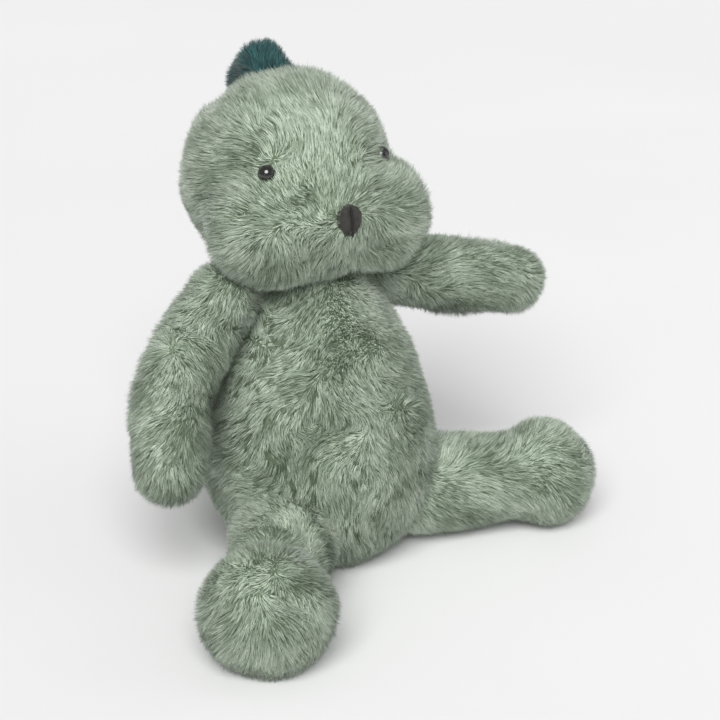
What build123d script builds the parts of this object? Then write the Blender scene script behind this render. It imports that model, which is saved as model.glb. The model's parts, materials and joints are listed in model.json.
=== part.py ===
from build123d import *
import math
import os

# A seated plush dinosaur, in millimetres. +Z is up and the toy faces -Y, so its right side is -X.
# The origin is on the floor, under the middle of the flat seat.

# ---- driving dimensions ----
SKIN = 3.0                  # the plush fabric, with its pile pressed half flat
SLACK = 0.5                 # room between a skin and its stuffing, and between a ball and its hollow
FLOOR_SIZE = 400.0          # block that cuts the flat resting faces

LEAN_BACK = 7.0             # degrees that the torso leans back
TORSO_FRONT = -2.0          # Y of the torso's axis at the floor
BELLY = (49.0, 57.5)        # (distance along the torso's axis, radius)
CHEST = (96.0, 47.0)
COLLAR = (129.0, 34.0)
COLLAR_CAP = 18.0           # rounding of the torso's top, beyond the collar

NECK = (0.0, 18.0, 146.0)   # centre of the ball of neck stuffing on which the head turns and nods
NECK_RADIUS = 24.0

HEAD_YAW = -11.0            # degrees, the head looks a little to the toy's right
SKULL = (0.0, 26.0, 195.0)
SKULL_RADIUS = 47.5
MUZZLE = (0.0, -3.0, 180.5)
MUZZLE_HALF_WIDTH = 55.0
MUZZLE_RADIUS = 30.0

EYE_SIDE = 31.0             # from the middle of the face
EYE_RISE = 11.0             # above the skull's centre
EYE_RADIUS = 4.5
SHANK_RADIUS = 1.5
SHANK_LENGTH = 10.0
WASHER_RADIUS = 6.0
WASHER_THICKNESS = 1.5
WASHER_DEPTH = 5.0          # from the skin's surface to the washer's outer face

NOSE_WIDTH = 15.0
NOSE_HEIGHT = 15.0
NOSE_RISE = 4.0             # above the muzzle's centre
NOSE_THICKNESS = 1.6
NOSE_CORNER = 2.8
LIFT = 0.2                  # between a trim piece and the skin under it
THREAD_RADIUS = 0.5
STITCH_ARC = 26.0           # degrees of the muzzle's round that the nose's stitching covers

# Each limb starts in a ball about its joint and is a row of (distance along the limb, radius).
SHOULDER = (45.5, 17.0, 135.0)
ARM = [(0.0, 17.0), (47.0, 18.8), (82.0, 17.0)]
HAND_CAP = 17.0             # rounding of the end, beyond the last place
ARM_DIRECTIONS = {"left": (0.88, -0.31, -0.19), "right": (-0.555, -0.11, -0.83)}

HIP = (45.0, -24.0, 27.0)
LEG = [(0.0, 25.0), (51.0, 21.5), (75.0, 27.5)]
FOOT_CAP = 17.0
SOLE_SEAM_AT = 84.0         # where the sole panel is sewn to the leg
LEG_SPLAY = {"left": 61.5, "right": 45.5}   # degrees out from straight ahead

TAIL_ROOT = (0.0, 51.0, 24.0)
TAIL = [(0.0, 20.0), (34.0, 15.0), (58.0, 9.0)]
TAIL_CAP = 9.0
TAIL_DROP = 14.0            # degrees below level

# A soft leg presses dents in the torso wherever it swings: degrees up from rest.
LEG_DENTS = (0.0, 7.0, 14.0)
DENT_ROOM = 1.2             # between a limb and its dent at rest
DENT_STEP = 0.15            # how much tighter each further dent is

POUCH_RADIUS = 16.0         # the bag of beads that weights the seat
POUCH_HEIGHT = 30.0
POUCH_CORNER = 5.0

SPIKE_THICKNESS = 20.0
SPIKE_SINK = 9.0            # how far a spike's blank reaches below the skin that trims it
SPIKE_TOP = 0.76            # width of a spike's blunt top, as a share of its sewn edge
SPIKE_EDGE = 5.0
# name: (width, height, degrees back from the top of the skull)
HEAD_SPIKES = {"crown_spike": (34.0, 15.0, 36.0), "nape_spike": (25.0, 13.0, 74.0)}
# name: (width, height, distance along the torso's axis, degrees that it tips up)
BACK_SPIKES = {"upper_back_spike": (21.0, 14.0, 110.0, 22.0),
               "middle_back_spike": (22.0, 15.0, 87.0, 12.0),
               "lower_back_spike": (19.0, 12.0, 64.0, 0.0)}

os.makedirs("parts", exist_ok=True)


# ---- directions and places ----
def leg_direction(side):
    angle = math.radians(LEG_SPLAY[side])
    return Vector(SIGN[side] * math.sin(angle), -math.cos(angle), 0)


def on_side(point, side):
    return Vector(SIGN[side] * point[0], point[1], point[2])


SIGN = {"left": 1, "right": -1}
ACROSS = Vector(1, 0, 0)
HEAD_TURN = Location(NECK) * Location((0, 0, 0), (0, 0, HEAD_YAW)) * Location(NECK).inverse()
TORSO_AXIS = Vector(0, math.sin(math.radians(LEAN_BACK)), math.cos(math.radians(LEAN_BACK)))
TORSO_START = Vector(0, TORSO_FRONT, 0)
TAIL_AXIS = Vector(0, math.cos(math.radians(TAIL_DROP)), -math.sin(math.radians(TAIL_DROP)))


# ---- shapes that several pieces share ----
def tangent_lean(place, target):
    """Lean of the line that rolls off the ball at place and ends at the point target, from its axis."""
    along_axis = target[0] - place[0]
    return math.atan2(along_axis, target[1]) - math.acos(place[1] / math.hypot(along_axis, target[1]))


def ball_lean(place, target):
    """Lean of the line that touches the balls at place and target from outside."""
    return math.asin((place[1] - target[1]) / (target[0] - place[0]))


def on_ball(place, lean):
    return (place[0] + place[1] * math.sin(lean), place[1] * math.cos(lean))


def row_of_balls(places, cap, start, direction, inset):
    """A body spun about direction: balls in a row, joined by tangent cones, its end rounded by cap."""
    places = [(distance, radius - inset) for distance, radius in places]
    end, end_radius = places[-1]
    leans = [ball_lean(place, following) for place, following in zip(places[:-2], places[1:-1])]
    leans.append(tangent_lean(places[-2], places[-1]))
    direction = Vector(*direction).normalized()
    section_plane = Plane(origin=start, x_dir=direction, z_dir=direction.cross(Vector(0, 0, 1)))
    before = -math.pi / 2
    last_point = on_ball(places[0], before)
    with BuildPart() as body:
        with BuildSketch(section_plane):
            with BuildLine():
                for place, after in zip(places, leans):
                    middle = (before + after) / 2
                    if after > before:
                        arc_start = on_ball(place, before)
                        if before > -math.pi / 2:
                            Line(last_point, arc_start)
                        last_point = on_ball(place, after)
                        ThreePointArc(arc_start, on_ball(place, middle), last_point)
                    else:
                        reach = place[1] / math.cos((before - after) / 2)
                        corner = on_ball((place[0], reach), middle)
                        Line(last_point, corner)
                        last_point = corner
                    before = after
                Line(last_point, (end, end_radius))
                edge = cap - inset
                flat_radius = end_radius - edge
                halfway = edge * math.sqrt(0.5)
                ThreePointArc((end, end_radius), (end + halfway, flat_radius + halfway),
                              (end + edge, flat_radius))
                if flat_radius > LIFT:
                    Line((end + edge, flat_radius), (end + edge, 0))
                Line((end + edge, 0), on_ball(places[0], -math.pi / 2))
            make_face()
        revolve(axis=Axis(start, direction))
    return body.part


def torso_body(inset):
    return row_of_balls([BELLY, CHEST, COLLAR], COLLAR_CAP, TORSO_START, TORSO_AXIS, inset)


def arm_body(side, inset):
    return row_of_balls(ARM, HAND_CAP, on_side(SHOULDER, side), ARM_DIRECTIONS[side], inset)


def leg_body(side, inset):
    return row_of_balls(LEG, FOOT_CAP, on_side(HIP, side), leg_direction(side), inset)


def tail_body(inset):
    return row_of_balls(TAIL, TAIL_CAP, TAIL_ROOT, TAIL_AXIS, inset)


def ball(centre, radius):
    with BuildPart(Plane(origin=centre)) as body:
        Sphere(radius)
    return body.part


def below(height):
    """Everything under a level, to cut a flat resting face."""
    with BuildPart(Plane.XY.offset(height)) as block:
        Box(FLOOR_SIZE, FLOOR_SIZE, FLOOR_SIZE, align=(Align.CENTER, Align.CENTER, Align.MAX))
    return block.part


def skull_body(inset):
    return ball(SKULL, SKULL_RADIUS - inset)


def muzzle_body(inset):
    """A pill that lies across the face."""
    half_length = MUZZLE_HALF_WIDTH - MUZZLE_RADIUS
    radius = MUZZLE_RADIUS - inset
    with BuildPart() as body:
        with BuildSketch(Plane(origin=MUZZLE)):
            SlotCenterToCenter(2 * half_length, 2 * radius)
            Rectangle(3 * MUZZLE_HALF_WIDTH, 2 * radius, align=(Align.CENTER, Align.MAX),
                      mode=Mode.SUBTRACT)
        revolve(axis=Axis(MUZZLE, ACROSS))
    return body.part


def head_body(inset):
    with BuildPart() as body:
        add(skull_body(inset))
        add(muzzle_body(inset))
    return body.part


def spike_blank(base, outward, across, width, height):
    """A blunt plush spike that stands on base, its sewn edge still to be trimmed to the skin."""
    with BuildPart() as blank:
        with BuildSketch(Plane(origin=base, x_dir=outward.cross(across), z_dir=across)):
            with BuildLine():
                Polyline((-width / 2, -SPIKE_SINK), (width / 2, -SPIKE_SINK), (width / 2, 0),
                         (SPIKE_TOP * width / 2, height), (-SPIKE_TOP * width / 2, height),
                         (-width / 2, 0), close=True)
            outline = make_face()
            fillet(outline.vertices().group_by(Axis.Y)[-1], radius=0.3 * width)
        extrude(amount=SPIKE_THICKNESS / 2, both=True)
        flanks = blank.faces().sort_by(Axis(base, across))
        fillet(flanks[0].edges() + flanks[-1].edges(), radius=SPIKE_EDGE)
    return blank.part


def save(piece, name):
    piece.part.label = name
    export_step(piece.part, f"parts/{name}.step")


def save_in_head(piece, name):
    """Save a piece of the head, which is drawn looking straight ahead, after the head's turn."""
    turned = piece.part.moved(HEAD_TURN)
    turned.label = name
    export_step(turned, f"parts/{name}.step")


def flat_footed(body, inset):
    """body(inset) with whatever would go through the floor cut away."""
    with BuildPart() as shape:
        add(body(inset))
        add(below(inset), mode=Mode.SUBTRACT)
    return shape.part


def plush_skin(body, hollows):
    """The closed fabric skin of body, with the other pieces' hollows cut from it."""
    with BuildPart() as skin:
        add(flat_footed(body, 0))
        add(flat_footed(body, SKIN), mode=Mode.SUBTRACT)
        for hollow in hollows:
            add(hollow, mode=Mode.SUBTRACT)
    return skin.part


def stuffing(body, hollows):
    """The fibre that fills the skin of body."""
    with BuildPart() as filling:
        add(flat_footed(body, SKIN + SLACK))
        for hollow in hollows:
            add(hollow, mode=Mode.SUBTRACT)
    return filling.part


# ---- torso ----
def dents(body, hinge, angles):
    """The hollows that body(inset) presses as it swings about hinge, each tighter than the last."""
    return [body(number * DENT_STEP - DENT_ROOM).rotate(hinge, angle) for number, angle in enumerate(angles)]


# The right arm hangs against the torso, and the left one is raised clear of it.
limb_hollows = [ball(NECK, NECK_RADIUS + SLACK), ball(TAIL_ROOT, TAIL[0][1] + DENT_ROOM),
                ball(on_side(SHOULDER, "left"), ARM[0][1] + DENT_ROOM), arm_body("right", -DENT_ROOM)]
for side in SIGN:
    def side_leg(inset):
        return leg_body(side, inset)

    leg_hinge = Axis(on_side(HIP, side), leg_direction(side).cross(Vector(0, 0, 1)))
    limb_hollows += dents(side_leg, leg_hinge, LEG_DENTS)

with BuildPart() as torso_skin:
    add(plush_skin(torso_body, limb_hollows))
save(torso_skin, "torso_skin")

# The bag of beads stands in a pocket at the bottom of the stuffing.
with BuildPart(Plane.XY.offset(SKIN + SLACK)) as seat_bead_bag:
    Cylinder(POUCH_RADIUS, POUCH_HEIGHT, align=(Align.CENTER, Align.CENTER, Align.MIN))
    fillet(seat_bead_bag.edges(), radius=POUCH_CORNER)
save(seat_bead_bag, "seat_bead_bag")

with BuildPart() as bead_pocket:
    Cylinder(POUCH_RADIUS + SLACK, POUCH_HEIGHT + SKIN + 2 * SLACK,
             align=(Align.CENTER, Align.CENTER, Align.MIN))

with BuildPart() as torso_stuffing:
    add(stuffing(torso_body, [*limb_hollows, bead_pocket.part]))
save(torso_stuffing, "torso_stuffing")

# ---- neck ----
with BuildPart(Plane(origin=NECK)) as neck_stuffing:
    Sphere(NECK_RADIUS)
save(neck_stuffing, "neck_stuffing")

# ---- eyes: a glossy bead on a shank, held by a washer behind the skin ----
eye_hollows = []
washer_hollows = []
for side in SIGN:
    eye_depth = math.sqrt(SKULL_RADIUS ** 2 - EYE_SIDE ** 2 - EYE_RISE ** 2)
    offset = Vector(SIGN[side] * EYE_SIDE, -eye_depth, EYE_RISE)
    seat = Plane(origin=Vector(*SKULL) + offset, z_dir=offset.normalized())
    shank_plane = seat.offset(-SHANK_LENGTH)
    washer_plane = seat.offset(-WASHER_DEPTH - WASHER_THICKNESS)

    with BuildPart(seat) as eye:
        Sphere(EYE_RADIUS)
        with BuildSketch(shank_plane):
            Circle(SHANK_RADIUS)
        extrude(amount=SHANK_LENGTH)
    save_in_head(eye, f"eye_{side}")

    with BuildPart() as washer:
        with BuildSketch(washer_plane):
            Circle(WASHER_RADIUS)
            Circle(SHANK_RADIUS + LIFT, mode=Mode.SUBTRACT)
        extrude(amount=WASHER_THICKNESS)
    save_in_head(washer, f"eye_washer_{side}")

    with BuildPart(seat) as eye_room:
        Sphere(EYE_RADIUS + LIFT)
        with BuildSketch(seat.offset(-SHANK_LENGTH - SLACK)):
            Circle(SHANK_RADIUS + SLACK)
        extrude(amount=SHANK_LENGTH)
    eye_hollows.append(eye_room.part)

    with BuildPart() as washer_room:
        with BuildSketch(washer_plane.offset(-SLACK)):
            Circle(WASHER_RADIUS + SLACK)
        extrude(amount=WASHER_THICKNESS + 2 * SLACK)
    washer_hollows.append(washer_room.part)

# ---- head ----
neck_hollow = ball(NECK, NECK_RADIUS + SLACK)
with BuildPart() as head_skin:
    add(plush_skin(head_body, [neck_hollow, *eye_hollows]))
save_in_head(head_skin, "head_skin")

with BuildPart() as head_stuffing:
    add(stuffing(head_body, [neck_hollow, *eye_hollows, *washer_hollows]))
save_in_head(head_stuffing, "head_stuffing")

# ---- nose: a velour patch on the front of the muzzle, drawn in by one line of stitching ----
nose_place = Vector(*MUZZLE) + Vector(0, -MUZZLE_RADIUS, NOSE_RISE)
with BuildPart() as nose_patch:
    with BuildSketch(Plane(origin=nose_place, x_dir=(1, 0, 0), z_dir=(0, -1, 0))):
        with BuildLine():
            Polyline((-NOSE_WIDTH / 2, NOSE_HEIGHT / 2), (NOSE_WIDTH / 2, NOSE_HEIGHT / 2),
                     (NOSE_WIDTH / 2, 0), (0, -NOSE_HEIGHT / 2), (-NOSE_WIDTH / 2, 0), close=True)
        outline = make_face()
        fillet(outline.vertices(), radius=NOSE_CORNER)
    extrude(amount=MUZZLE_RADIUS / 2, both=True)
    add(muzzle_body(-LIFT - NOSE_THICKNESS), mode=Mode.INTERSECT)
    add(muzzle_body(-LIFT), mode=Mode.SUBTRACT)
save_in_head(nose_patch, "nose_patch")

thread_round = MUZZLE_RADIUS + LIFT + NOSE_THICKNESS + LIFT + THREAD_RADIUS
stitch_middle = math.degrees(math.asin(NOSE_RISE / MUZZLE_RADIUS))
stitch_start = Vector(0, -1, 0).rotate(Axis.X, -stitch_middle - STITCH_ARC / 2)
with BuildPart() as nose_stitching:
    with BuildSketch(Plane(origin=Vector(*MUZZLE) + stitch_start * thread_round,
                           z_dir=Vector(1, 0, 0).cross(stitch_start))):
        Circle(THREAD_RADIUS)
    revolve(axis=Axis(MUZZLE, (1, 0, 0)), revolution_arc=STITCH_ARC)
save_in_head(nose_stitching, "nose_stitching")

# ---- spikes along the head and the back, each trimmed to the skin it is sewn on ----
for name, (width, height, back) in HEAD_SPIKES.items():
    outward = Vector(0, math.sin(math.radians(back)), math.cos(math.radians(back)))
    base = Vector(*SKULL) + outward * SKULL_RADIUS
    with BuildPart() as head_spike:
        add(spike_blank(base, outward, ACROSS, width, height))
        add(head_body(-LIFT), mode=Mode.SUBTRACT)
    save_in_head(head_spike, name)

for name, (width, height, distance, tip) in BACK_SPIKES.items():
    (low, low_radius), (high, high_radius) = (BELLY, CHEST) if distance < CHEST[0] else (CHEST, COLLAR)
    share = (distance - low) / (high - low)
    radius = low_radius + share * (high_radius - low_radius)
    backward = TORSO_AXIS.rotate(Axis.X, -90)
    base = TORSO_START + TORSO_AXIS * distance + backward * radius
    outward = backward.rotate(Axis.X, tip)
    with BuildPart() as back_spike:
        add(spike_blank(base, outward, ACROSS, width, height))
        add(torso_body(-LIFT), mode=Mode.SUBTRACT)
    save(back_spike, name)

# ---- arms, legs and tail ----
for side in SIGN:
    def this_arm(inset):
        return arm_body(side, inset)

    def this_leg(inset):
        return leg_body(side, inset)

    with BuildPart() as arm_skin:
        add(plush_skin(this_arm, []))
    save(arm_skin, f"arm_{side}_skin")

    with BuildPart() as arm_stuffing:
        add(stuffing(this_arm, []))
    save(arm_stuffing, f"arm_{side}_stuffing")

    # The skin of a leg stops at the sole's seam, and the sole is a panel of its own.
    seam = Plane(origin=on_side(HIP, side) + leg_direction(side) * SOLE_SEAM_AT,
                 z_dir=leg_direction(side))
    with BuildPart() as leg_skin:
        add(plush_skin(this_leg, []))
        split(bisect_by=seam, keep=Keep.BOTTOM)
    save(leg_skin, f"leg_{side}_skin")

    with BuildPart() as sole:
        add(plush_skin(this_leg, []))
        split(bisect_by=seam, keep=Keep.TOP)
    save(sole, f"sole_{side}")

    with BuildPart() as leg_stuffing:
        add(stuffing(this_leg, []))
    save(leg_stuffing, f"leg_{side}_stuffing")

with BuildPart() as tail_skin:
    add(plush_skin(tail_body, []))
save(tail_skin, "tail_skin")

with BuildPart() as tail_stuffing:
    add(stuffing(tail_body, []))
save(tail_stuffing, "tail_stuffing")
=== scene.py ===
"""A seated plush dinosaur: stuffed pieces of long brushed pile, teal spikes, bead eyes and a velour nose."""

import json
import math

import bmesh
import bpy
import numpy as np
from mathutils import Matrix, Quaternion, Vector
from mathutils.bvhtree import BVHTree


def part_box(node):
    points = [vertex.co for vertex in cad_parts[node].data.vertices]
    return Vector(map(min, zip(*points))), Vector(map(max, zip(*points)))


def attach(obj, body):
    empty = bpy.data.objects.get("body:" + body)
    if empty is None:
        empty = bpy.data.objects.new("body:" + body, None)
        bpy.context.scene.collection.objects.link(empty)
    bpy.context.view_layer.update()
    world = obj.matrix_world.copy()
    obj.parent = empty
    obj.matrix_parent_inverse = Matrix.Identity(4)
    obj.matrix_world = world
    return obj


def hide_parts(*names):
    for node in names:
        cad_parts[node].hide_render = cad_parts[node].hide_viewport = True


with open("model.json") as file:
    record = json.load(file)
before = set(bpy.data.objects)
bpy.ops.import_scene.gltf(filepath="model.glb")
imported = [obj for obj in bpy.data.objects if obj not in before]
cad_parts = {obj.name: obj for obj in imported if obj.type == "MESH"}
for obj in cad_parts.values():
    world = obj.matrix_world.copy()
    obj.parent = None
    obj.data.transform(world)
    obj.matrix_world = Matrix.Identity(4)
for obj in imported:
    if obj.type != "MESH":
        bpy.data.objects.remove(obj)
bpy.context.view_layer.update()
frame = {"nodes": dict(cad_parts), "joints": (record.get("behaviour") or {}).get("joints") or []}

bl_info = {
    "name": "Plush Dinosaur",
    "version": (1, 0, 0),
    "blender": (4, 5, 0),
    "location": "View3D > Sidebar > Plush",
    "description": "Sews, stuffs and brushes a seated plush dinosaur round its packed frame",
    "category": "Object",
}

MM = 0.001
SIDES = {"left": 1, "right": -1}

# ---- places, in metres: the toy faces -Y and its right side is -X ----
JOINTS = {joint["name"]: joint for joint in frame["joints"]}
NECK = Vector(JOINTS["head_turn"]["pos_m"])
TAIL_ROOT = Vector(JOINTS["tail_wag"]["pos_m"])
SHOULDERS = {side: Vector(JOINTS[f"arm_{side}_raise"]["pos_m"]) for side in SIDES}
HIPS = {side: Vector(JOINTS[f"leg_{side}_lift"]["pos_m"]) for side in SIDES}
NOD_AXIS = Vector(JOINTS["head_nod"]["axis"])
HEAD_TURN = (Matrix.Translation(NECK) @ Matrix.Rotation(math.atan2(NOD_AXIS.y, NOD_AXIS.x), 4, "Z")
             @ Matrix.Translation(-NECK))
FLOOR_GAP = 0.6 * MM        # between the floor and the lowest pile
SEAT_LEVEL = 2.5 * MM       # where the cloth of a resting piece is pressed flat

LEAN_BACK = math.radians(7)
TORSO_AXIS = Vector((0, math.sin(LEAN_BACK), math.cos(LEAN_BACK)))
TORSO_START = Vector((0, -2, 0)) * MM
# (distance along the piece, radius), in millimetres
TORSO_ROW = [(49, 58.2), (60, 58.2), (72, 56.6), (84, 53.4), (96, 48.4), (108, 43.0), (120, 38.4),
             (130, 34.0), (140, 27.0)]
ARM_ROW = [(0, 17.5), (12, 18.0), (24, 18.6), (36, 18.9), (48, 18.9), (60, 18.6), (72, 17.9),
           (82, 16.8)]
LEG_ROW = [(0, 25.5), (12, 25.0), (24, 24.0), (36, 22.6), (48, 22.0), (58, 23.5)]
TAIL_DROP = math.radians(14)
TAIL_AXIS = Vector((0, math.cos(TAIL_DROP), -math.sin(TAIL_DROP)))
TAIL_ROW = [(0, 20.5), (10, 19.3), (20, 17.6), (30, 15.8), (40, 13.6), (50, 11.0), (57, 9.0)]
TAIL_BOW = Vector((0, 0, -1.5)) * MM
ARM_DIRECTIONS = {"left": Vector((0.88, -0.31, -0.19)).normalized(),
                  "right": Vector((-0.555, -0.11, -0.83)).normalized()}
# How far the middle of an arm bows, and how far its shoulder is lifted.
ARM_BOWS = {"left": Vector((0.5, 0.5, -0.5)) * MM, "right": Vector((-8.0, 6.0, 1.0)) * MM}
SHOULDER_LIFTS = {"left": Vector((0.0, 0.0, 1.0)) * MM, "right": Vector((-3.0, 1.0, 6.0)) * MM}
# Along each leg, in millimetres: the foot's centre, its three radii, and the seam of its sole.
FOOT_AT = {"left": 67.0, "right": 75.0}
FOOT_RADII = {"left": (27.5, 27.5, 24.0), "right": (31.0, 31.0, 27.0)}
SOLE_SEAM_AT = {"left": 84.0, "right": 93.0}
SOLE_SEAM_RADIUS = {"left": 21.5, "right": 24.0}

SKULL = Vector((0, 26, 195)) * MM
SKULL_RADIUS = 47.5 * MM
MUZZLE = Vector((0, -3, 180.5)) * MM
EYE_SIDE = 31.0 * MM
EYE_RISE = 11.0 * MM
NOSE = Vector((0, -35, 185)) * MM


def leg_direction(side):
    """Along a leg, square to the level axis on which it lifts."""
    axis = Vector(JOINTS[f"leg_{side}_lift"]["axis"])
    return Vector((axis.y, -axis.x, 0)).normalized() * (-1 if axis.y * SIDES[side] < 0 else 1)


def eye_place(side):
    depth = math.sqrt(SKULL_RADIUS ** 2 - EYE_SIDE ** 2 - EYE_RISE ** 2)
    return SKULL + Vector((SIDES[side] * EYE_SIDE, -depth, EYE_RISE))


# ---- settings ----
def length_setting(name, description, default):
    return bpy.props.FloatProperty(name=name, description=description, default=default,
                                   subtype="DISTANCE", unit="LENGTH", precision=5)


def angle_setting(name, description, degrees):
    return bpy.props.FloatProperty(name=name, description=description, default=math.radians(degrees),
                                   subtype="ANGLE", unit="ROTATION")


def plain_setting(name, description, default):
    return bpy.props.FloatProperty(name=name, description=description, default=default, min=0)


def colour_setting(name, description, default):
    return bpy.props.FloatVectorProperty(name=name, description=description, default=default,
                                         subtype="COLOR", size=3, min=0, max=1)


class PlushPile(bpy.types.PropertyGroup):
    length: length_setting("Pile length", "Length of the long brushed pile", 7.0 * MM)
    spike_length: length_setting("Spike pile length", "Length of the pile on the spikes", 5.5 * MM)
    width: length_setting("Fibre width", "Width of one bundle of fibres at its root", 0.43 * MM)
    lean: angle_setting("Lean", "How far the pile lies over, from upright", 50)
    density: plain_setting("Density", "Bundles of fibres per square millimetre", 3.4)
    tuft: length_setting("Tuft size", "Distance between the tips of tufts", 1.15 * MM)
    swirl: plain_setting("Swirl", "How unevenly the pile is brushed", 0.85)


class PlushCloth(bpy.types.PropertyGroup):
    voxel: length_setting("Panel detail", "Size of the cloth's faces", 3.5 * MM)
    swell_room: length_setting("Swell room", "How much smaller a skin is sewn than it is stuffed", 1.5 * MM)
    swell_cap: length_setting("Swell limit", "The furthest that stuffing pushes the cloth", 3.5 * MM)
    pressure: plain_setting("Stuffing pressure", "Pressure inside a skin", 4.0)
    wall: length_setting("Skin thickness", "From the cloth's face to the filling", 4.0 * MM)


class PlushColours(bpy.types.PropertyGroup):
    tip: colour_setting("Pile tips", "Palest sage of the pile", (0.74, 0.84, 0.70))
    mid: colour_setting("Pile", "Sage of most of the pile", (0.45, 0.55, 0.42))
    deep: colour_setting("Deep pile", "Olive sage of the pile's shaded bundles", (0.165, 0.215, 0.145))
    # root is painted shade: this dark olive of the under-pile and the backing stands in for shade in the gaps
    # where the pile parts
    root: colour_setting("Pile roots", "Dark olive of the cloth behind the pile", (0.13, 0.17, 0.11))
    teal: colour_setting("Spikes", "Dark teal of the spikes", (0.035, 0.105, 0.105))
    nose: colour_setting("Nose", "Charcoal velour", (0.035, 0.033, 0.030))
    thread: colour_setting("Thread", "Thread that draws the nose in", (0.012, 0.011, 0.011))


class PlushStage(bpy.types.PropertyGroup):
    azimuth: angle_setting("Azimuth", "Camera's angle round the toy from straight ahead", -40.8)
    elevation: angle_setting("Elevation", "Camera's angle above level", 22.5)
    distance: length_setting("Distance", "From the camera to what it looks at", 1.0)
    target: bpy.props.FloatVectorProperty(name="Target", description="What the camera looks at",
                                          default=(0.0124, -0.0134, 0.1021), subtype="XYZ", unit="LENGTH")
    lens: plain_setting("Lens", "Focal length in millimetres", 100.0)
    key: plain_setting("Key light", "Broad soft light, upper left", 3.0)
    fill: plain_setting("Fill light", "Weaker light, right", 1.5)
    room: plain_setting("Room light", "Even light from all round", 0.34)


# ---- shader nodes ----
class Value:
    """A shader socket whose Python arithmetic adds Math nodes."""

    def __init__(self, tree, socket):
        self.tree = tree
        self.socket = socket

    def _math(self, operation, first, second):
        node = self.tree.nodes.new("ShaderNodeMath")
        node.operation = operation
        for socket, value in zip(node.inputs, (first, second)):
            if isinstance(value, Value):
                self.tree.links.new(value.socket, socket)
            else:
                socket.default_value = value
        return Value(self.tree, node.outputs[0])

    def __add__(self, other):
        return self._math("ADD", self, other)

    def __sub__(self, other):
        return self._math("SUBTRACT", self, other)

    def __rsub__(self, other):
        return self._math("SUBTRACT", other, self)

    def __mul__(self, other):
        return self._math("MULTIPLY", self, other)

    __radd__ = __add__
    __rmul__ = __mul__


class Finish:
    """A material and the one method that adds a node to it."""

    def __init__(self, name, **shader):
        self.material = bpy.data.materials.new(name)
        self.material.use_nodes = True
        self.tree = self.material.node_tree
        self.shader = self.tree.nodes["Principled BSDF"]
        for socket, value in shader.items():
            self.shader.inputs[socket.replace("_", " ")].default_value = value

    def node(self, kind, settings=(), **sockets):
        node = self.tree.nodes.new("ShaderNode" + kind)
        for name, value in dict(settings).items():
            setattr(node, name, value)
        for name, value in sockets.items():
            self.join(node.inputs[name.replace("_", " ")], value)
        return node

    def join(self, socket, value):
        if isinstance(value, Value):
            value = value.socket
        if isinstance(value, bpy.types.NodeSocket):
            self.tree.links.new(value, socket)
        else:
            socket.default_value = value

    def value(self, node, output="Fac"):
        return Value(self.tree, node.outputs[output])

    def places(self):
        return self.node("TexCoord").outputs["Object"]

    def noise(self, scale, detail=2.0, roughness=0.5):
        return self.value(self.node("TexNoise", Vector=self.places(), Scale=scale, Detail=detail,
                                    Roughness=roughness))

    def ramp(self, factor, *stops):
        node = self.node("ValToRGB", Fac=factor)
        elements = node.color_ramp.elements
        for element, (place, colour) in zip(elements, (stops[0], stops[-1])):
            element.position = place
            element.color = (*colour, 1)
        for place, colour in stops[1:-1]:
            elements.new(place).color = (*colour, 1)
        return node.outputs["Color"]

    def feed(self, **sockets):
        for name, value in sockets.items():
            self.join(self.shader.inputs[name.replace("_", " ")], value)

    def bump(self, height, distance, strength=1.0):
        bump = self.node("Bump", Height=height, Distance=distance, Strength=strength)
        self.feed(Normal=bump.outputs["Normal"])


FINISHES = {}


def finish(name, make, *values):
    """The material called name, made by make(name, *values) the first time that it is asked for."""
    if name not in FINISHES:
        FINISHES[name] = make(name, *values).material
    return FINISHES[name]


def scaled(colour, share):
    return tuple(min(1.0, channel * share) for channel in colour)


def mixed(first, second, share):
    return tuple(a + (b - a) * share for a, b in zip(first, second))


def pile_finish(name, colour, sheen):
    """Soft polyester fibre, with the light scatter of brushed pile."""
    return Finish(name, Base_Color=(*colour, 1), Roughness=0.85, Sheen_Weight=sheen, Sheen_Roughness=0.45,
                  Sheen_Tint=(*mixed(colour, (1, 1, 1), 0.6), 1), Specular_IOR_Level=0.25)


def painted_shade_backing_finish(name, dark, pale):
    """Knitted backing cloth, seen only where the pile parts: the cloth is real, its dark colours are painted
    shade in those gaps.
    """
    made = Finish(name, Roughness=0.95, Sheen_Weight=0.15, Sheen_Roughness=0.5, Specular_IOR_Level=0.15)
    patches = made.noise(90, 3)
    fibres = made.noise(900, 2)
    made.feed(Base_Color=made.ramp(patches * 0.6 + fibres * 0.4, (0.35, dark), (0.65, pale)))
    made.bump(fibres, 0.4 * MM, 0.7)
    return made


def velour_finish(name, colour):
    """Short dense nap with worn, paler flecks."""
    made = Finish(name, Roughness=0.9, Sheen_Weight=0.35, Sheen_Roughness=0.35, Specular_IOR_Level=0.2,
                  Sheen_Tint=(0.5, 0.5, 0.48, 1))
    nap = made.noise(2600, 3, 0.7)
    rubbed = made.noise(260, 3)
    made.feed(Base_Color=made.ramp(nap * 0.5 + rubbed * 0.5, (0.3, scaled(colour, 0.6)),
                                   (0.75, scaled(colour, 2.1))))
    made.bump(nap, 0.25 * MM, 0.8)
    return made


def thread_finish(name, colour):
    """Twisted thread."""
    made = Finish(name, Roughness=0.7, Specular_IOR_Level=0.3)
    twist = made.node("TexWave", {"bands_direction": "DIAGONAL"}, Vector=made.places(), Scale=420.0,
                      Distortion=1.5)
    strands = made.value(twist, "Fac")
    made.feed(Base_Color=made.ramp(strands, (0.2, scaled(colour, 0.6)), (0.8, scaled(colour, 2.2))))
    made.bump(strands, 0.15 * MM)
    return made


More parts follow.
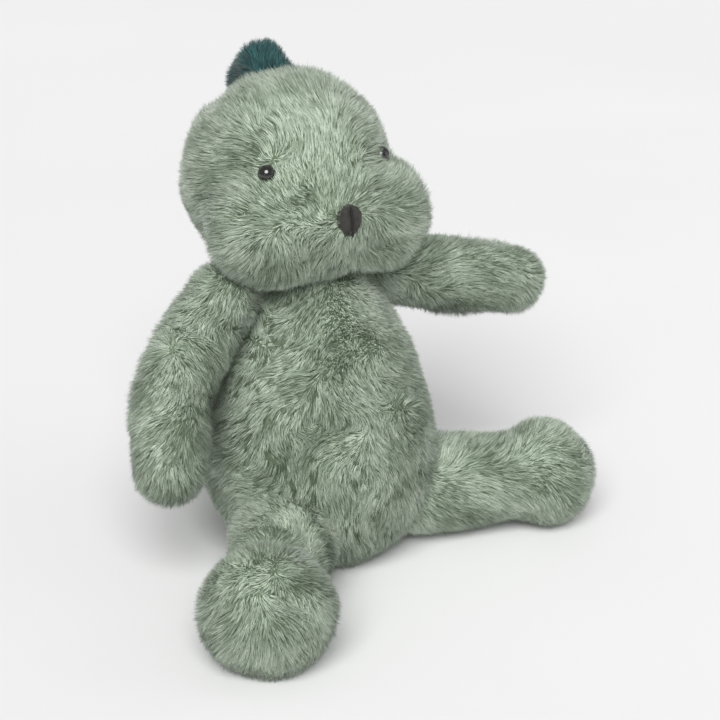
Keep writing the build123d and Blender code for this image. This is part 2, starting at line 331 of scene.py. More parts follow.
def bead_finish(name):
    """Polished black plastic bead with faint handling haze."""
    made = Finish(name, Specular_IOR_Level=0.6, Coat_Roughness=0.03)
    haze = made.noise(420, 4, 0.6)
    made.feed(Base_Color=made.ramp(haze, (0.35, (0.004, 0.004, 0.004)), (0.8, (0.012, 0.011, 0.010))),
              Roughness=haze * 0.10 + 0.04, Coat_Weight=haze * 0.3 + 0.7)
    return made


def moulded_finish(name, colour):
    """Moulded plastic with a fine matt grain."""
    made = Finish(name, Specular_IOR_Level=0.4)
    grain = made.noise(1500, 3)
    made.feed(Base_Color=made.ramp(grain, (0.3, scaled(colour, 0.9)), (0.7, colour)),
              Roughness=grain * 0.2 + 0.4)
    made.bump(grain, 0.05 * MM, 0.5)
    return made


def fibre_finish(name):
    """White polyester filling, in tufts and stray fibres."""
    made = Finish(name, Roughness=0.95, Sheen_Weight=0.3, Sheen_Roughness=0.5, Specular_IOR_Level=0.2)
    tufts = made.noise(160, 4, 0.65)
    strays = made.noise(1400, 3, 0.7)
    made.feed(Base_Color=made.ramp(tufts * 0.6 + strays * 0.4, (0.3, (0.62, 0.62, 0.6)),
                                   (0.7, (0.88, 0.88, 0.86))))
    made.bump(tufts * 0.7 + strays * 0.3, 1.2 * MM, 0.8)
    return made


def cotton_finish(name):
    """Plain woven cotton, unbleached."""
    made = Finish(name, Roughness=0.9, Specular_IOR_Level=0.2)
    threads = [made.value(made.node("TexWave", {"bands_direction": way}, Vector=made.places(), Scale=300.0,
                                    Distortion=0.6), "Fac") for way in ("X", "Z")]
    weave = threads[0] * 0.5 + threads[1] * 0.5
    slubs = made.noise(300, 3)
    made.feed(Base_Color=made.ramp(weave * 0.5 + slubs * 0.5, (0.3, (0.6, 0.57, 0.5)),
                                   (0.7, (0.8, 0.78, 0.72))))
    made.bump(weave, 0.2 * MM, 0.8)
    return made


# ---- meshes ----
SWELL_FRAMES = 20


def new_piece(name, bm):
    mesh = bpy.data.meshes.new(name)
    bm.to_mesh(mesh)
    bm.free()
    piece = bpy.data.objects.new(name, mesh)
    bpy.context.scene.collection.objects.link(piece)
    return piece


def keep_modifiers(piece):
    """Make what the piece's modifiers show its own mesh."""
    shown = bpy.data.meshes.new_from_object(piece.evaluated_get(bpy.context.evaluated_depsgraph_get()))
    old = piece.data
    piece.modifiers.clear()
    piece.data = shown
    bpy.data.meshes.remove(old)


def vertex_array(mesh, field):
    values = np.empty(len(mesh.vertices) * 3, np.float32)
    mesh.vertices.foreach_get(field, values)
    return values.reshape(-1, 3).astype(float)


def set_places(mesh, places):
    mesh.vertices.foreach_set("co", places.astype(np.float32).ravel())
    mesh.update()


def unit(vectors):
    return vectors / np.maximum(np.linalg.norm(vectors, axis=-1, keepdims=True), 1e-12)


def one_skin(name, bm, voxel, smoothing):
    """One closed, smoothed skin round the closed shapes in bm."""
    piece = new_piece(name, bm)
    remesh = piece.modifiers.new("one skin", "REMESH")
    remesh.mode = "VOXEL"
    remesh.voxel_size = voxel
    remesh.use_smooth_shade = True
    smooth = piece.modifiers.new("stretched cloth", "SMOOTH")
    smooth.factor = 0.5
    smooth.iterations = smoothing
    keep_modifiers(piece)
    return piece


def joined_lobes(name, lobes, smoothing):
    """One closed skin round overlapping lobes, each (centre, three radii, turn)."""
    bm = bmesh.new()
    for centre, radii, turn in lobes:
        place = Matrix.Translation(centre) @ turn.to_matrix().to_4x4() @ Matrix.Diagonal((*radii, 1))
        bmesh.ops.create_icosphere(bm, subdivisions=4, radius=1, matrix=place)
    return one_skin(name, bm, bpy.context.scene.plush_cloth.voxel, smoothing)


def row_lobes(start, direction, row, bow=Vector((0, 0, 0)), lift=Vector((0, 0, 0))):
    """Balls along a line that bows to one side, and whose first part is lifted."""
    length = row[-1][0]
    lobes = []
    for distance, radius in row:
        share = distance / length
        centre = start + direction * distance * MM + bow * math.sin(math.pi * share) + lift * (1 - share) ** 2
        lobes.append((centre, (radius * MM,) * 3, Quaternion()))
    return lobes


def swell(piece):
    """Blow the sewn skin up with stuffing, no point further than the swell limit."""
    cloth_settings = bpy.context.scene.plush_cloth
    before = vertex_array(piece.data, "co")
    shrunk = before - vertex_array(piece.data, "normal") * cloth_settings.swell_room
    set_places(piece.data, shrunk)
    scene = bpy.context.scene
    cloth = piece.modifiers.new("stuffing", "CLOTH")
    cloth.settings.use_pressure = True
    cloth.settings.uniform_pressure_force = cloth_settings.pressure
    cloth.settings.effector_weights.gravity = 0
    cloth.point_cache.frame_start = 1
    cloth.point_cache.frame_end = SWELL_FRAMES
    for number in range(1, SWELL_FRAMES + 1):
        scene.frame_set(number)
    blown = vertex_array(piece.evaluated_get(bpy.context.evaluated_depsgraph_get()).data, "co")
    piece.modifiers.clear()
    scene.frame_set(1)
    move = blown - shrunk
    size = np.linalg.norm(move, axis=1, keepdims=True)
    set_places(piece.data, shrunk + move * np.minimum(1, cloth_settings.swell_cap / np.maximum(size, 1e-9)))


def rest_flat(piece):
    """Press what would go through the floor flat on it."""
    places = vertex_array(piece.data, "co")
    places[:, 2] = np.maximum(places[:, 2], SEAT_LEVEL)
    set_places(piece.data, places)


class Groove:
    """A line along which the cloth is drawn in and the pile is short."""

    def __init__(self, points, width, depth, shortest):
        self.points = [np.array(point, float) for point in points]
        self.width = width
        self.depth = depth
        self.shortest = shortest

    def closeness(self, places):
        nearest = np.full(len(places), np.inf)
        for start, end in zip(self.points[:-1], self.points[1:]):
            along = end - start
            share = np.clip((places - start) @ along / (along @ along), 0, 1)
            nearest = np.minimum(nearest, np.linalg.norm(places - start - share[:, None] * along, axis=1))
        return np.exp(-(nearest / self.width) ** 2)

    def press(self, piece):
        places = vertex_array(piece.data, "co")
        inward = self.depth * self.closeness(places)
        set_places(piece.data, places - vertex_array(piece.data, "normal") * inward[:, None])

    def share(self, places):
        return 1 - (1 - self.shortest) * self.closeness(places)


def smooth_curve(points, count):
    """Points along a smooth curve through a few given ones."""
    given = [Vector(p) for p in points]
    ends = [given[0] * 2 - given[1], *given, given[-1] * 2 - given[-2]]
    found = []
    for a, b, c, d in zip(ends[:-3], ends[1:-2], ends[2:-1], ends[3:]):
        for step in range(count):
            t = step / count
            found.append(0.5 * (2 * b + (c - a) * t + (2 * a - 5 * b + 4 * c - d) * t ** 2
                                + (3 * b - a - 3 * c + d) * t ** 3))
    return [*found, given[-1]]


# ---- pile ----
class Waves:
    """Smooth noise, three numbers at each place: a sum of plane waves in seeded directions."""

    COUNT = 8

    def __init__(self, wavelength, seed):
        random = np.random.default_rng(seed)
        ways = unit(random.normal(size=(self.COUNT, 3)))
        self.ways = ways * (2 * np.pi / wavelength * random.uniform(0.7, 1.4, (self.COUNT, 1)))
        self.phases = random.uniform(0, 2 * np.pi, (self.COUNT, 3))

    def __call__(self, places):
        total = np.zeros((len(places), 3))
        for way, phase in zip(self.ways, self.phases):
            total += np.sin((places @ way)[:, None] + phase)
        return total * math.sqrt(2 / self.COUNT)


def scattered(mesh, density, random):
    """Seeded random places over a mesh, with its smooth normals there."""
    mesh.calc_loop_triangles()
    corners = np.empty(len(mesh.loop_triangles) * 3, np.int32)
    mesh.loop_triangles.foreach_get("vertices", corners)
    corners = corners.reshape(-1, 3)
    places = vertex_array(mesh, "co")[corners]
    normals = vertex_array(mesh, "normal")[corners]
    areas = np.linalg.norm(np.cross(places[:, 1] - places[:, 0], places[:, 2] - places[:, 0]), axis=1) / 2
    triangle = np.repeat(np.arange(len(corners)), random.poisson(areas * density / MM ** 2))
    a, b = random.random((2, len(triangle)))
    root = np.sqrt(a)
    weights = np.stack([1 - root, root * (1 - b), root * b], axis=1)[:, :, None]
    return (places[triangle] * weights).sum(1), unit((normals[triangle] * weights).sum(1))


def tufts(places, size, bend):
    """The number of the tuft that each place belongs to, in cells whose walls wander."""
    cells = np.floor((places + bend(places) * size * 0.45) / size).astype(np.int64)
    keys = (cells[:, 0] * 73856093) ^ (cells[:, 1] * 19349663) ^ (cells[:, 2] * 83492791)
    return np.unique(keys, return_inverse=True)[1]


def tuft_mean(values, tuft, count):
    sums = np.stack([np.bincount(tuft, values[:, axis], count) for axis in range(3)], axis=1)
    return sums / np.bincount(tuft, minlength=count)[:, None]


SWIRLS = ((42 * MM, 1.0), (15 * MM, 0.5))      # (wavelength, strength) of the uneven brushing
PATCH = 30 * MM                 # wavelength of the patches of longer, paler or more upright pile
PATCH_LEAN = math.radians(8)    # how much the lean varies between patches
FIBRE_LEAN = math.radians(7)    # how much the lean varies between fibres
LEAN_LIMITS = (math.radians(12), math.radians(66))
STRAYS = 0.10                   # share of the fibres that stand up
UNDER_PILE = 0.26               # share of the fibres that are the short, dark under-pile; its dark colour is painted shade in the gaps between tufts
PATCH_SHADES = 0.1925           # how much the shade varies between patches, tufts and fibres
TUFT_SHADES = 0.24
FIBRE_SHADES = 0.42
SHADE_STEPS = (-0.62, -0.2, 0.25, 0.62)


def grow_pile(name, skin, comb, seed, length=None, grooves=(), colours=None, density=None, lean=None):
    """Brushed pile over skin: fibre bundles that follow comb and draw together into small tufts."""
    settings = bpy.context.scene.plush_pile
    length = length or settings.length
    lean = settings.lean if lean is None else lean
    random = np.random.default_rng(seed)
    roots, normals = scattered(skin.data, density or settings.density, random)
    count = len(roots)
    swirl = sum(strength * Waves(wavelength, seed + 1 + number)(roots)
                for number, (wavelength, strength) in enumerate(SWIRLS))
    flow = unit(comb(roots)) + settings.swirl * swirl * 0.55
    along = unit(flow - (flow * normals).sum(1, keepdims=True) * normals)
    patches = Waves(PATCH, seed + 3)(roots)
    over = lean + PATCH_LEAN * patches[:, 0] + random.normal(0, FIBRE_LEAN, count)
    over[random.random(count) < STRAYS] *= 0.5
    over = np.clip(over, *LEAN_LIMITS)[:, None]
    ways = unit(np.cos(over) * normals + np.sin(over) * along + random.normal(0, 0.10, (count, 3)))
    reach = length * random.uniform(0.72, 1.12, count) * (1 + 0.10 * patches[:, 1])
    for groove in grooves:
        reach *= groove.share(roots)
    under = random.random(count) < UNDER_PILE
    reach[under] *= 0.6
    tips = roots + ways * reach[:, None]
    shade = PATCH_SHADES * patches[:, 2]
    for size, pull, bend_seed in ((3.2 * settings.tuft, 0.16, 4), (settings.tuft, 0.44, 5)):
        tuft = tufts(roots, size, Waves(size * 3, seed + bend_seed))
        tuft_count = tuft.max() + 1
        tips += (tuft_mean(tips, tuft, tuft_count)[tuft] - tips) * pull * (~under)[:, None]
        shade += random.normal(0, TUFT_SHADES, tuft_count)[tuft]
    tuft_tilt = random.normal(0, 0.13, (tuft_count, 3))[tuft]
    shade += random.normal(0, FIBRE_SHADES, count)
    tips[:, 2] = np.maximum(tips[:, 2], FLOOR_GAP)
    pile = fibre_mesh(name, roots - normals * 0.4 * MM, tips, normals, settings.width, random)
    shades = np.digitize(shade, SHADE_STEPS) + 1
    # The short under-pile takes slot 0, the darkest finish: painted shade in the gaps between tufts.
    shades[under] = 0
    pile.data.polygons.foreach_set("material_index", np.repeat(shades, 3).astype(np.int32))
    for finish_name, colour, sheen in colours or sage_shades():
        pile.data.materials.append(finish(finish_name, pile_finish, colour, sheen))
    leant = unit(normals + 0.22 * along + tuft_tilt + random.normal(0, 0.10, (count, 3)))
    pile.data.normals_split_custom_set_from_vertices(np.repeat(leant, 4, axis=0))
    return pile


def fibre_mesh(name, roots, tips, normals, width, random):
    """A mesh of three-sided fibre bundles, each drawn out from its root to one point."""
    count = len(roots)
    ways = unit(tips - roots)
    across = unit(np.cross(ways, normals) + 1e-9)
    up = np.cross(ways, across)
    turn = random.uniform(0, 2 * np.pi, count)
    corners = np.empty((count, 4, 3))
    for corner in range(3):
        angle = (turn + corner * 2 * np.pi / 3)[:, None]
        corners[:, corner] = roots + (np.cos(angle) * across + np.sin(angle) * up) * width / 2
    corners[:, 3] = tips
    corners[:, :, 2] = np.maximum(corners[:, :, 2], FLOOR_GAP)
    faces = np.array([0, 1, 3, 1, 2, 3, 2, 0, 3])[None, :] + 4 * np.arange(count)[:, None]
    mesh = bpy.data.meshes.new(name)
    mesh.vertices.add(count * 4)
    mesh.vertices.foreach_set("co", corners.astype(np.float32).ravel())
    mesh.loops.add(count * 9)
    mesh.loops.foreach_set("vertex_index", faces.astype(np.int32).ravel())
    mesh.polygons.add(count * 3)
    mesh.polygons.foreach_set("loop_start", np.arange(0, count * 9, 3, dtype=np.int32))
    mesh.update(calc_edges=True)
    pile = bpy.data.objects.new(name, mesh)
    bpy.context.scene.collection.objects.link(pile)
    return pile


def sage_shades():
    """The pile's finishes, from the short under-pile, dark with painted shade in the gaps between tufts, to
    the palest tufts.
    """
    c = bpy.context.scene.plush_colours
    return [("sage_under_pile", tuple(c.root), 0.1), ("sage_deep", tuple(c.deep), 0.25),
            ("sage_low", mixed(c.deep, c.mid, 0.55), 0.35), ("sage_mid", tuple(c.mid), 0.4),
            ("sage_high", mixed(c.mid, c.tip, 0.5), 0.45), ("sage_tip", tuple(c.tip), 0.5)]


def teal_shades():
    teal = bpy.context.scene.plush_colours.teal
    # The teal under-pile, the teal at 0.35, is painted shade in the gaps of the spikes' pile.
    shares = (("under_pile", 0.35, 0.1), ("deep", 0.6, 0.2), ("low", 0.8, 0.25), ("mid", 1.0, 0.3),
              ("high", 1.25, 0.3), ("tip", 1.6, 0.35))
    return [(f"teal_{name}", scaled(teal, share), sheen) for name, share, sheen in shares]


# ---- one stuffed part: skin, pile and filling ----
def stuffed(body, skin, node, filling_node, fill=0.85):
    """Give a finished skin its backing cloth and its filling, and make both ride with the body."""
    if filling_node:
        fill_up(body, skin.data, body, filling_node)
    ease = skin.modifiers.new("soft panels", "SUBSURF")
    ease.levels = ease.render_levels = 1
    back(skin, body, node, fill)


def fill_up(part, mesh, body, node):
    """The loose fibre inside a skin whose cloth is mesh."""
    filling = new_piece(f"{part}_filling", loosened(mesh))
    filling.data.materials.append(finish("fibre_filling", fibre_finish))
    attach(filling, body)
    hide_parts(node)


def back(cloth, body, node, fill):
    """Make a piece of cloth the sage plush's backing, which rides with the body."""
    c = bpy.context.scene.plush_colours
    # The backing's dark olive, from the pile's root and deep colours, is painted shade where the pile parts.
    cloth.data.materials.append(finish("sage_backing", painted_shade_backing_finish, tuple(c.root), tuple(c.deep)))
    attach(cloth, body)
    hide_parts(node)


def loosened(mesh):
    """The filling inside a skin: its shape, drawn in by the skin's thickness and lumpy."""
    inside = mesh.copy()
    wall = bpy.context.scene.plush_cloth.wall
    lumps = Waves(18 * MM, 77)(vertex_array(inside, "co"))[:, :1] * 0.5 * MM
    places = vertex_array(inside, "co") - vertex_array(inside, "normal") * (wall + lumps)
    set_places(inside, places)
    bm = bmesh.new()
    bm.from_mesh(inside)
    bpy.data.meshes.remove(inside)
    return bm


def dress(pile, body):
    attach(pile, body)


def steady(direction):
    """A comb that brushes everywhere the same way."""
    way = np.array(direction, float)
    return lambda places: np.tile(way, (len(places), 1))


# ---- pieces ----
SOLE_PILE = 7.6 * MM
NOSE_SIZE = (14.5 * MM, 15.0 * MM)


def make_torso():
    lobes = row_lobes(TORSO_START, TORSO_AXIS, TORSO_ROW)
    skin = joined_lobes("torso_cloth", lobes, 10)
    swell(skin)
    rest_flat(skin)

    def comb(places):
        down = np.tile((0.0, 0.0, -1.0), (len(places), 1))
        down[:, 0] -= 0.45
        down[:, 1] += 0.1
        return down

    pile = grow_pile("torso_pile", skin, comb, 11)
    stuffed("torso", skin, "torso_skin", "torso_stuffing")
    dress(pile, "torso")


def make_neck():
    skin = joined_lobes("neck_cloth", [(NECK, (27.5 * MM, 27.5 * MM, 26 * MM), Quaternion())], 2)
    pile = grow_pile("neck_pile", skin, steady((0, 0, -1)), 21, length=6.5 * MM, density=2.5)
    back(skin, "neck", "neck_stuffing", 0.8)
    dress(pile, "neck")


def head_lobes():
    level = Quaternion()
    lobes = [(SKULL, (48.5 * MM, 48.5 * MM, 47.5 * MM), level),
             (MUZZLE + Vector((0, -1, 0)) * MM, (43 * MM, 30.5 * MM, 29.5 * MM), level)]
    for sign in SIDES.values():
        lobes.append((SKULL + Vector((sign * 6, 5, -4)) * MM, (46 * MM, 46 * MM, 45 * MM), level))
        lobes.append((MUZZLE + Vector((sign * 26, 1, -4)) * MM, (31 * MM, 31 * MM, 28 * MM), level))
        lobes.append((SKULL + Vector((sign * 16, -6, -24)) * MM, (30 * MM, 30 * MM, 27 * MM), level))
    return lobes


def mouth_line():
    half = [Vector((0, -33, 167)), Vector((15, -31, 168)), Vector((29, -22, 167)), Vector((38, -7, 163)),
            Vector((42, 9, 159))]
    mirrored = [Vector((-point.x, point.y, point.z)) for point in half[:0:-1]]
    return smooth_curve([point * MM for point in [*mirrored, *half]], 4)


def make_head():
    skin = joined_lobes("head_cloth", head_lobes(), 7)
    swell(skin)
    mouth = Groove(mouth_line(), 4.0 * MM, 4.0 * MM, 0.35)
    mouth.press(skin)
    eyes = [Groove([eye_place(side), eye_place(side) + Vector((0, 0, 1)) * MM], 4.5 * MM, 0.3 * MM, 0.4)
            for side in SIDES]
    for eye in eyes:
        eye.press(skin)
    nose = Groove([NOSE, NOSE + Vector((0, 0, 1)) * MM], 9.0 * MM, 0.6 * MM, 0.25)
    nose_tip = np.array(NOSE)

    def comb(places):
        away = unit(places - nose_tip)
        back = np.tile((0.0, 0.8, -0.3), (len(places), 1))
        return away + back

    pile = grow_pile("head_pile", skin, comb, 31, grooves=[mouth, nose, *eyes])
    make_nose(skin)
    for piece in (skin, pile):
        piece.data.transform(HEAD_TURN)
    stuffed("head", skin, "head_skin", "head_stuffing")
    dress(pile, "head")


def make_nose(skin):
    """A padded velour triangle, sewn on the muzzle and drawn in down its middle by thread."""
    width, height = NOSE_SIZE
    bm = bmesh.new()
    bmesh.ops.create_grid(bm, x_segments=28, y_segments=28, size=0.5)
    for vert in bm.verts:
        u, v = vert.co.x * 2, vert.co.y * 2
        # A square bent to a disc, then narrowed to a rounded triangle that points down.
        x, y = u * math.sqrt(1 - v * v / 2), v * math.sqrt(1 - u * u / 2)
        narrow = 0.62 + 0.38 * min(1.0, max(0.0, (y + 1) / 1.35))
        vert.co = Vector((x * narrow * width / 2, 0, y * height / 2))
        edge = max(0.0, 1 - (x * x + y * y)) ** 0.5
        crease = math.exp(-(x * 7.5) ** 2)
        folds = math.exp(-((abs(x) - abs(y) * 0.75) * 8.0) ** 2) * (1 - crease)
        vert.co.y = -(0.5 + 2.3 * edge * (1 - 0.62 * crease - 0.16 * folds)) * MM
    tree = BVHTree.FromPolygons([v.co for v in skin.data.vertices], [p.vertices for p in skin.data.polygons])
    for vert in bm.verts:
        ahead = Vector((vert.co.x, NOSE.y - 30 * MM, NOSE.z + vert.co.z))
        hit = tree.ray_cast(ahead, Vector((0, 1, 0)))[0]
        vert.co = Vector((ahead.x, hit.y + vert.co.y, ahead.z))
    bmesh.ops.solidify(bm, geom=bm.faces, thickness=0.9 * MM)
    bmesh.ops.recalc_face_normals(bm, faces=bm.faces)
    patch = new_piece("nose_velour_patch", bm)
    for polygon in patch.data.polygons:
        polygon.use_smooth = True
    patch.data.transform(HEAD_TURN)
    c = bpy.context.scene.plush_colours
    patch.data.materials.append(finish("nose_velour", velour_finish, tuple(c.nose)))
    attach(patch, "head")
    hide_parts("nose_patch")


def make_arms():
    for number, side in enumerate(SIDES):
        lobes = row_lobes(SHOULDERS[side], ARM_DIRECTIONS[side], ARM_ROW, ARM_BOWS[side],
                          SHOULDER_LIFTS[side])
        skin = joined_lobes(f"arm_{side}_cloth", lobes, 6)
        swell(skin)
        pile = grow_pile(f"arm_{side}_pile", skin, steady(ARM_DIRECTIONS[side]), 41 + 10 * number)
        stuffed(f"arm_{side}", skin, f"arm_{side}_skin", f"arm_{side}_stuffing")
        dress(pile, f"arm_{side}")


def cut_at(mesh, place, direction, keep_beyond, closed=True):
    """The half of a mesh on one side of a plane, closed at the cut or left open."""
    bm = bmesh.new()
    bm.from_mesh(mesh)
    geometry = [*bm.verts, *bm.edges, *bm.faces]
    bmesh.ops.bisect_plane(bm, geom=geometry, dist=1e-6, plane_co=place, plane_no=direction,
                           clear_inner=keep_beyond, clear_outer=not keep_beyond)
    if closed:
        bmesh.ops.edgeloop_fill(bm, edges=[edge for edge in bm.edges if edge.is_boundary])
        bmesh.ops.recalc_face_normals(bm, faces=bm.faces)
    return bm


def make_legs():
    for number, side in enumerate(SIDES):
        direction = leg_direction(side)
        turn = direction.to_track_quat("Z", "Y")
        lobes = row_lobes(HIPS[side], direction, LEG_ROW)
        foot = HIPS[side] + direction * FOOT_AT[side] * MM
        lobes.append((foot, tuple(radius * MM for radius in FOOT_RADII[side]), turn))
        skin = joined_lobes(f"leg_{side}_cloth", lobes, 6)
        swell(skin)
        rest_flat(skin)
        seam_place = HIPS[side] + direction * SOLE_SEAM_AT[side] * MM
        ring = []
        for step in range(33):
            spoke = turn @ Vector((math.cos(step * math.pi / 16), math.sin(step * math.pi / 16), 0))
            ring.append(seam_place + spoke * SOLE_SEAM_RADIUS[side] * MM)
        seam = Groove(ring, 2.6 * MM, 1.2 * MM, 0.6)
        seam.press(skin)
        sole = new_piece(f"sole_{side}_cloth", cut_at(skin.data, seam_place, direction, True))
        leg_bm = cut_at(skin.data, seam_place, direction, False)
        whole = skin.data
        skin.data = bpy.data.meshes.new(f"leg_{side}_cloth")
        leg_bm.to_mesh(skin.data)
        leg_bm.free()
        way = np.array(direction)
        seam_centre = np.array(seam_place)

        def comb_leg(places):
            return np.tile(way, (len(places), 1)) + np.array((0, 0, -0.25))

        def comb_sole(places):
            return 0.4 * unit(places - seam_centre) + np.array((0, 0, -1.0))

        grounds = [new_piece("pile_ground", cut_at(whole, seam_place, direction, beyond, closed=False))
                   for beyond in (False, True)]
        pile = grow_pile(f"leg_{side}_pile", grounds[0], comb_leg, 61 + 10 * number, grooves=[seam])
        sole_pile = grow_pile(f"sole_{side}_pile", grounds[1], comb_sole, 65 + 10 * number, grooves=[seam],
                              length=SOLE_PILE)
        for ground in grounds:
            bpy.data.objects.remove(ground)
        body = f"leg_{side}"
        stuffed(body, skin, f"leg_{side}_skin", None)
        fill_up(body, whole, body, f"leg_{side}_stuffing")
        for polygon in sole.data.polygons:
            polygon.use_smooth = True
        back(sole, body, f"sole_{side}", 0.8)
        dress(pile, body)
        dress(sole_pile, body)


def make_tail():
    lobes = row_lobes(TAIL_ROOT, TAIL_AXIS, TAIL_ROW, TAIL_BOW)
    skin = joined_lobes("tail_cloth", lobes, 5)
    swell(skin)
    rest_flat(skin)
    pile = grow_pile("tail_pile", skin, steady(TAIL_AXIS), 81)
    stuffed("tail", skin, "tail_skin", "tail_stuffing")
    dress(pile, "tail")


# name: (body, degrees that it tips back from straight up)
SPIKES = {"crown_spike": ("head", 41), "nape_spike": ("head", 74), "upper_back_spike": ("torso", 75),
          "middle_back_spike": ("torso", 85), "lower_back_spike": ("torso", 97)}
# name: (width, height, thickness), in millimetres
SPIKE_SIZES = {"crown_spike": (39, 15, 22), "nape_spike": (25, 13, 20), "upper_back_spike": (21, 14, 20),
               "middle_back_spike": (22, 15, 20), "lower_back_spike": (19, 12, 20)}
SPIKE_TOP = 0.76                # width of a spike's blunt top, as a share of its sewn edge
SPIKE_SINK = 8 * MM             # how far a spike reaches below its sewn edge
SPIKE_ROUND = 5 * MM
SPIKE_LEAN = 0.75               # of the spikes' pile from upright, in radians


def spike_base(name):
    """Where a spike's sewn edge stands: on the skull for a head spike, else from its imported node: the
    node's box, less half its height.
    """
    body, back = SPIKES[name]
    angle = math.radians(back)
    outward = Vector((0, math.sin(angle), math.cos(angle)))
    if body == "head":
        return SKULL + outward * SKULL_RADIUS, outward
    low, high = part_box(name)
    height = SPIKE_SIZES[name][1] * MM
    return (low + high) / 2 - outward * (height / 2 - 1.5 * MM), outward


def make_spikes():
    c = bpy.context.scene.plush_colours
    for number, (name, (body, back)) in enumerate(SPIKES.items()):
        width, height, thickness = (size * MM for size in SPIKE_SIZES[name])
        base, outward = spike_base(name)
        turn = Matrix((Vector((1, 0, 0)), outward.cross(Vector((1, 0, 0))), outward)).transposed().to_4x4()
        bm = bmesh.new()
        bmesh.ops.create_cube(bm, size=1)
        for vert in bm.verts:
            narrow = SPIKE_TOP if vert.co.z > 0 else 1
            vert.co = Vector((vert.co.x * thickness * narrow, vert.co.y * width * narrow,
                              height if vert.co.z > 0 else -SPIKE_SINK))
        bmesh.ops.bevel(bm, geom=bm.edges, offset=SPIKE_ROUND, offset_type="OFFSET", affect="EDGES",
                        segments=4, profile=0.5, material=-1)
        bmesh.ops.transform(bm, matrix=Matrix.Translation(base) @ turn, verts=bm.verts)
        bmesh.ops.recalc_face_normals(bm, faces=bm.faces)
        piece = one_skin(f"{name}_cloth", bm, 1.6 * MM, 6)
        pile = grow_pile(f"{name}_pile", piece, steady(outward), 91 + 10 * number,
                         length=bpy.context.scene.plush_pile.spike_length, colours=teal_shades(),
                         lean=SPIKE_LEAN)
        if body == "head":
            piece.data.transform(HEAD_TURN)
            pile.data.transform(HEAD_TURN)
        # The teal backing, the teal at 0.35 and 0.7, is painted shade where the spikes' pile parts.
        piece.data.materials.append(finish("teal_backing", painted_shade_backing_finish, scaled(c.teal, 0.35),
                                           scaled(c.teal, 0.7)))
        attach(piece, body)
        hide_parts(name)
        dress(pile, body)


def make_bead_bag():
    """A small cotton bag, lumpy with the beads inside."""
    low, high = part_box("seat_bead_bag")
    centre, size = (low + high) / 2, high - low
    bm = bmesh.new()
    bmesh.ops.create_icosphere(bm, subdivisions=5, radius=1)
    for vert in bm.verts:
        across = math.hypot(vert.co.x, vert.co.y)
        square = (across ** 3.2 + abs(vert.co.z) ** 3.2) ** (-1 / 3.2)
        vert.co = Vector([vert.co[axis] * square * size[axis] / 2 * 0.985 for axis in range(3)]) + centre
    bag = new_piece("seat_bead_bag_cotton", bm)
    places = vertex_array(bag.data, "co")
    beads = np.abs(Waves(6 * MM, 5)(places)).sum(1, keepdims=True)
    set_places(bag.data, places - vertex_array(bag.data, "normal") * beads * 0.22 * MM)
    for polygon in bag.data.polygons:
        polygon.use_smooth = True
    bag.data.materials.append(finish("bead_bag_cotton", cotton_finish))
    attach(bag, "torso")
    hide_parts("seat_bead_bag")


def repaint(node, material):
    materials = frame["nodes"][node].data.materials
    materials.clear()
    materials.append(material)


def make_hard_parts():
    c = bpy.context.scene.plush_colours
    for side in SIDES:
        repaint(f"eye_{side}", finish("eye_bead", bead_finish))
        repaint(f"eye_washer_{side}", finish("washer", moulded_finish, (0.8, 0.8, 0.78)))
    repaint("nose_stitching", finish("nose_thread", thread_finish, tuple(c.thread)))


# ---- stage ----
def make_stage():
    settings = bpy.context.scene.plush_stage
    scene = bpy.context.scene
    bm = bmesh.new()
    bmesh.ops.create_circle(bm, cap_ends=True, segments=96, radius=6)
    floor = new_piece("floor", bm)
    paper = Finish("pale_floor", Roughness=0.9, Specular_IOR_Level=0.1)
    paper.feed(Base_Color=paper.ramp(paper.noise(3, 2), (0.3, (0.86, 0.86, 0.86)), (0.7, (0.88, 0.88, 0.88))))
    floor.data.materials.append(paper.material)

    world = bpy.data.worlds.new("studio")
    world.use_nodes = True
    world.node_tree.nodes["Background"].inputs["Color"].default_value = (1, 1, 1, 1)
    world.node_tree.nodes["Background"].inputs["Strength"].default_value = settings.room
    scene.world = world
    target = Vector(settings.target)
    key = bpy.data.lights.new("key", "SUN")
    key.angle = math.radians(40)
    key.energy = settings.key
    fill = bpy.data.lights.new("fill", "AREA")
    fill.shape = "DISK"
    fill.size = 1.0
    fill.energy = settings.fill
    for lamp, place in ((key, Vector((-0.75, -0.75, 1.15))), (fill, Vector((0.9, -0.9, 0.55)))):
        holder = bpy.data.objects.new(lamp.name, lamp)
        scene.collection.objects.link(holder)
        holder.location = place
        holder.rotation_euler = (place - target).to_track_quat("Z", "Y").to_euler()

    camera = bpy.data.cameras.new("camera")
    camera.lens = settings.lens
    camera.clip_start = 0.01
    eye = bpy.data.objects.new("camera", camera)
    scene.collection.objects.link(eye)
    level = math.cos(settings.elevation)
    out = Vector((math.sin(settings.azimuth) * level, -math.cos(settings.azimuth) * level,
                  math.sin(settings.elevation)))
    eye.location = target + out * settings.distance
    eye.rotation_euler = out.to_track_quat("Z", "Y").to_euler()
    scene.camera = eye
    scene.view_settings.view_transform = "Standard"


# ---- operators ----
class PLUSH_OT_torso(bpy.types.Operator):
    """Sew and stuff the pear-shaped torso"""
    bl_idname = "plush.torso"
    bl_label = "Torso"

    def execute(self, context):
        make_torso()
        return {"FINISHED"}


class PLUSH_OT_neck(bpy.types.Operator):
    """Sew the ball of stuffing that joins the head to the torso"""
    bl_idname = "plush.neck"
    bl_label = "Neck"

    def execute(self, context):
        make_neck()
        return {"FINISHED"}


class PLUSH_OT_head(bpy.types.Operator):
    """Sew and stuff the head, with its mouth crease, eye dimples and nose"""
    bl_idname = "plush.head"
    bl_label = "Head and nose"

    def execute(self, context):
        make_head()
        return {"FINISHED"}


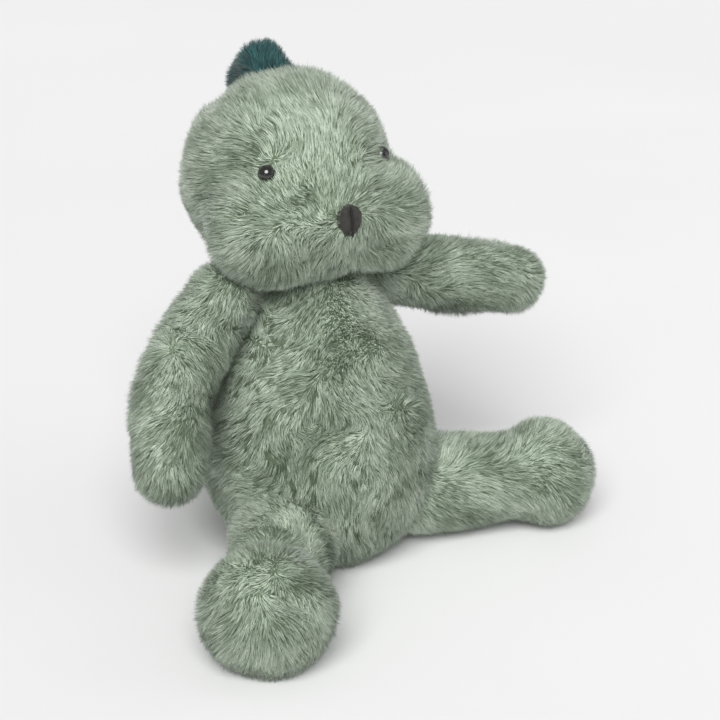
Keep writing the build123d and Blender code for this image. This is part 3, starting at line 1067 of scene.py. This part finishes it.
class PLUSH_OT_arms(bpy.types.Operator):
    """Sew and stuff both arms"""
    bl_idname = "plush.arms"
    bl_label = "Arms"

    def execute(self, context):
        make_arms()
        return {"FINISHED"}


class PLUSH_OT_legs(bpy.types.Operator):
    """Sew and stuff both legs and their sole panels"""
    bl_idname = "plush.legs"
    bl_label = "Legs and soles"

    def execute(self, context):
        make_legs()
        return {"FINISHED"}


class PLUSH_OT_tail(bpy.types.Operator):
    """Sew and stuff the tail"""
    bl_idname = "plush.tail"
    bl_label = "Tail"

    def execute(self, context):
        make_tail()
        return {"FINISHED"}


class PLUSH_OT_spikes(bpy.types.Operator):
    """Sew the blunt teal spikes along the head and back"""
    bl_idname = "plush.spikes"
    bl_label = "Spikes"

    def execute(self, context):
        make_spikes()
        return {"FINISHED"}


class PLUSH_OT_small_parts(bpy.types.Operator):
    """Finish the bead eyes, their washers, the nose's thread and the bag of beads"""
    bl_idname = "plush.small_parts"
    bl_label = "Eyes, thread and bead bag"

    def execute(self, context):
        make_hard_parts()
        make_bead_bag()
        return {"FINISHED"}


class PLUSH_OT_stage(bpy.types.Operator):
    """Set the floor, the soft lights and the camera"""
    bl_idname = "plush.stage"
    bl_label = "Stage"

    def execute(self, context):
        make_stage()
        return {"FINISHED"}


OPERATORS = (PLUSH_OT_torso, PLUSH_OT_neck, PLUSH_OT_head, PLUSH_OT_arms, PLUSH_OT_legs, PLUSH_OT_tail,
             PLUSH_OT_spikes, PLUSH_OT_small_parts, PLUSH_OT_stage)
SETTINGS = {"plush_pile": PlushPile, "plush_cloth": PlushCloth, "plush_colours": PlushColours,
            "plush_stage": PlushStage}


class PLUSH_PT_panel(bpy.types.Panel):
    """Lists the toy's pieces in the order in which they are made"""
    bl_label = "Plush Dinosaur"
    bl_space_type = "VIEW_3D"
    bl_region_type = "UI"
    bl_category = "Plush"

    def draw(self, context):
        for operator in OPERATORS:
            self.layout.operator(operator.bl_idname)


def register():
    for made in (*SETTINGS.values(), *OPERATORS, PLUSH_PT_panel):
        bpy.utils.register_class(made)
    for name, group in SETTINGS.items():
        setattr(bpy.types.Scene, name, bpy.props.PointerProperty(type=group))


def unregister():
    for name in SETTINGS:
        delattr(bpy.types.Scene, name)
    for made in (PLUSH_PT_panel, *OPERATORS, *SETTINGS.values()):
        bpy.utils.unregister_class(made)


def main():
    register()
    bpy.ops.plush.torso()
    bpy.ops.plush.neck()
    bpy.ops.plush.head()
    bpy.ops.plush.arms()
    bpy.ops.plush.legs()
    bpy.ops.plush.tail()
    bpy.ops.plush.spikes()
    bpy.ops.plush.small_parts()
    bpy.ops.plush.stage()


if __name__ == "__main__":
    main()
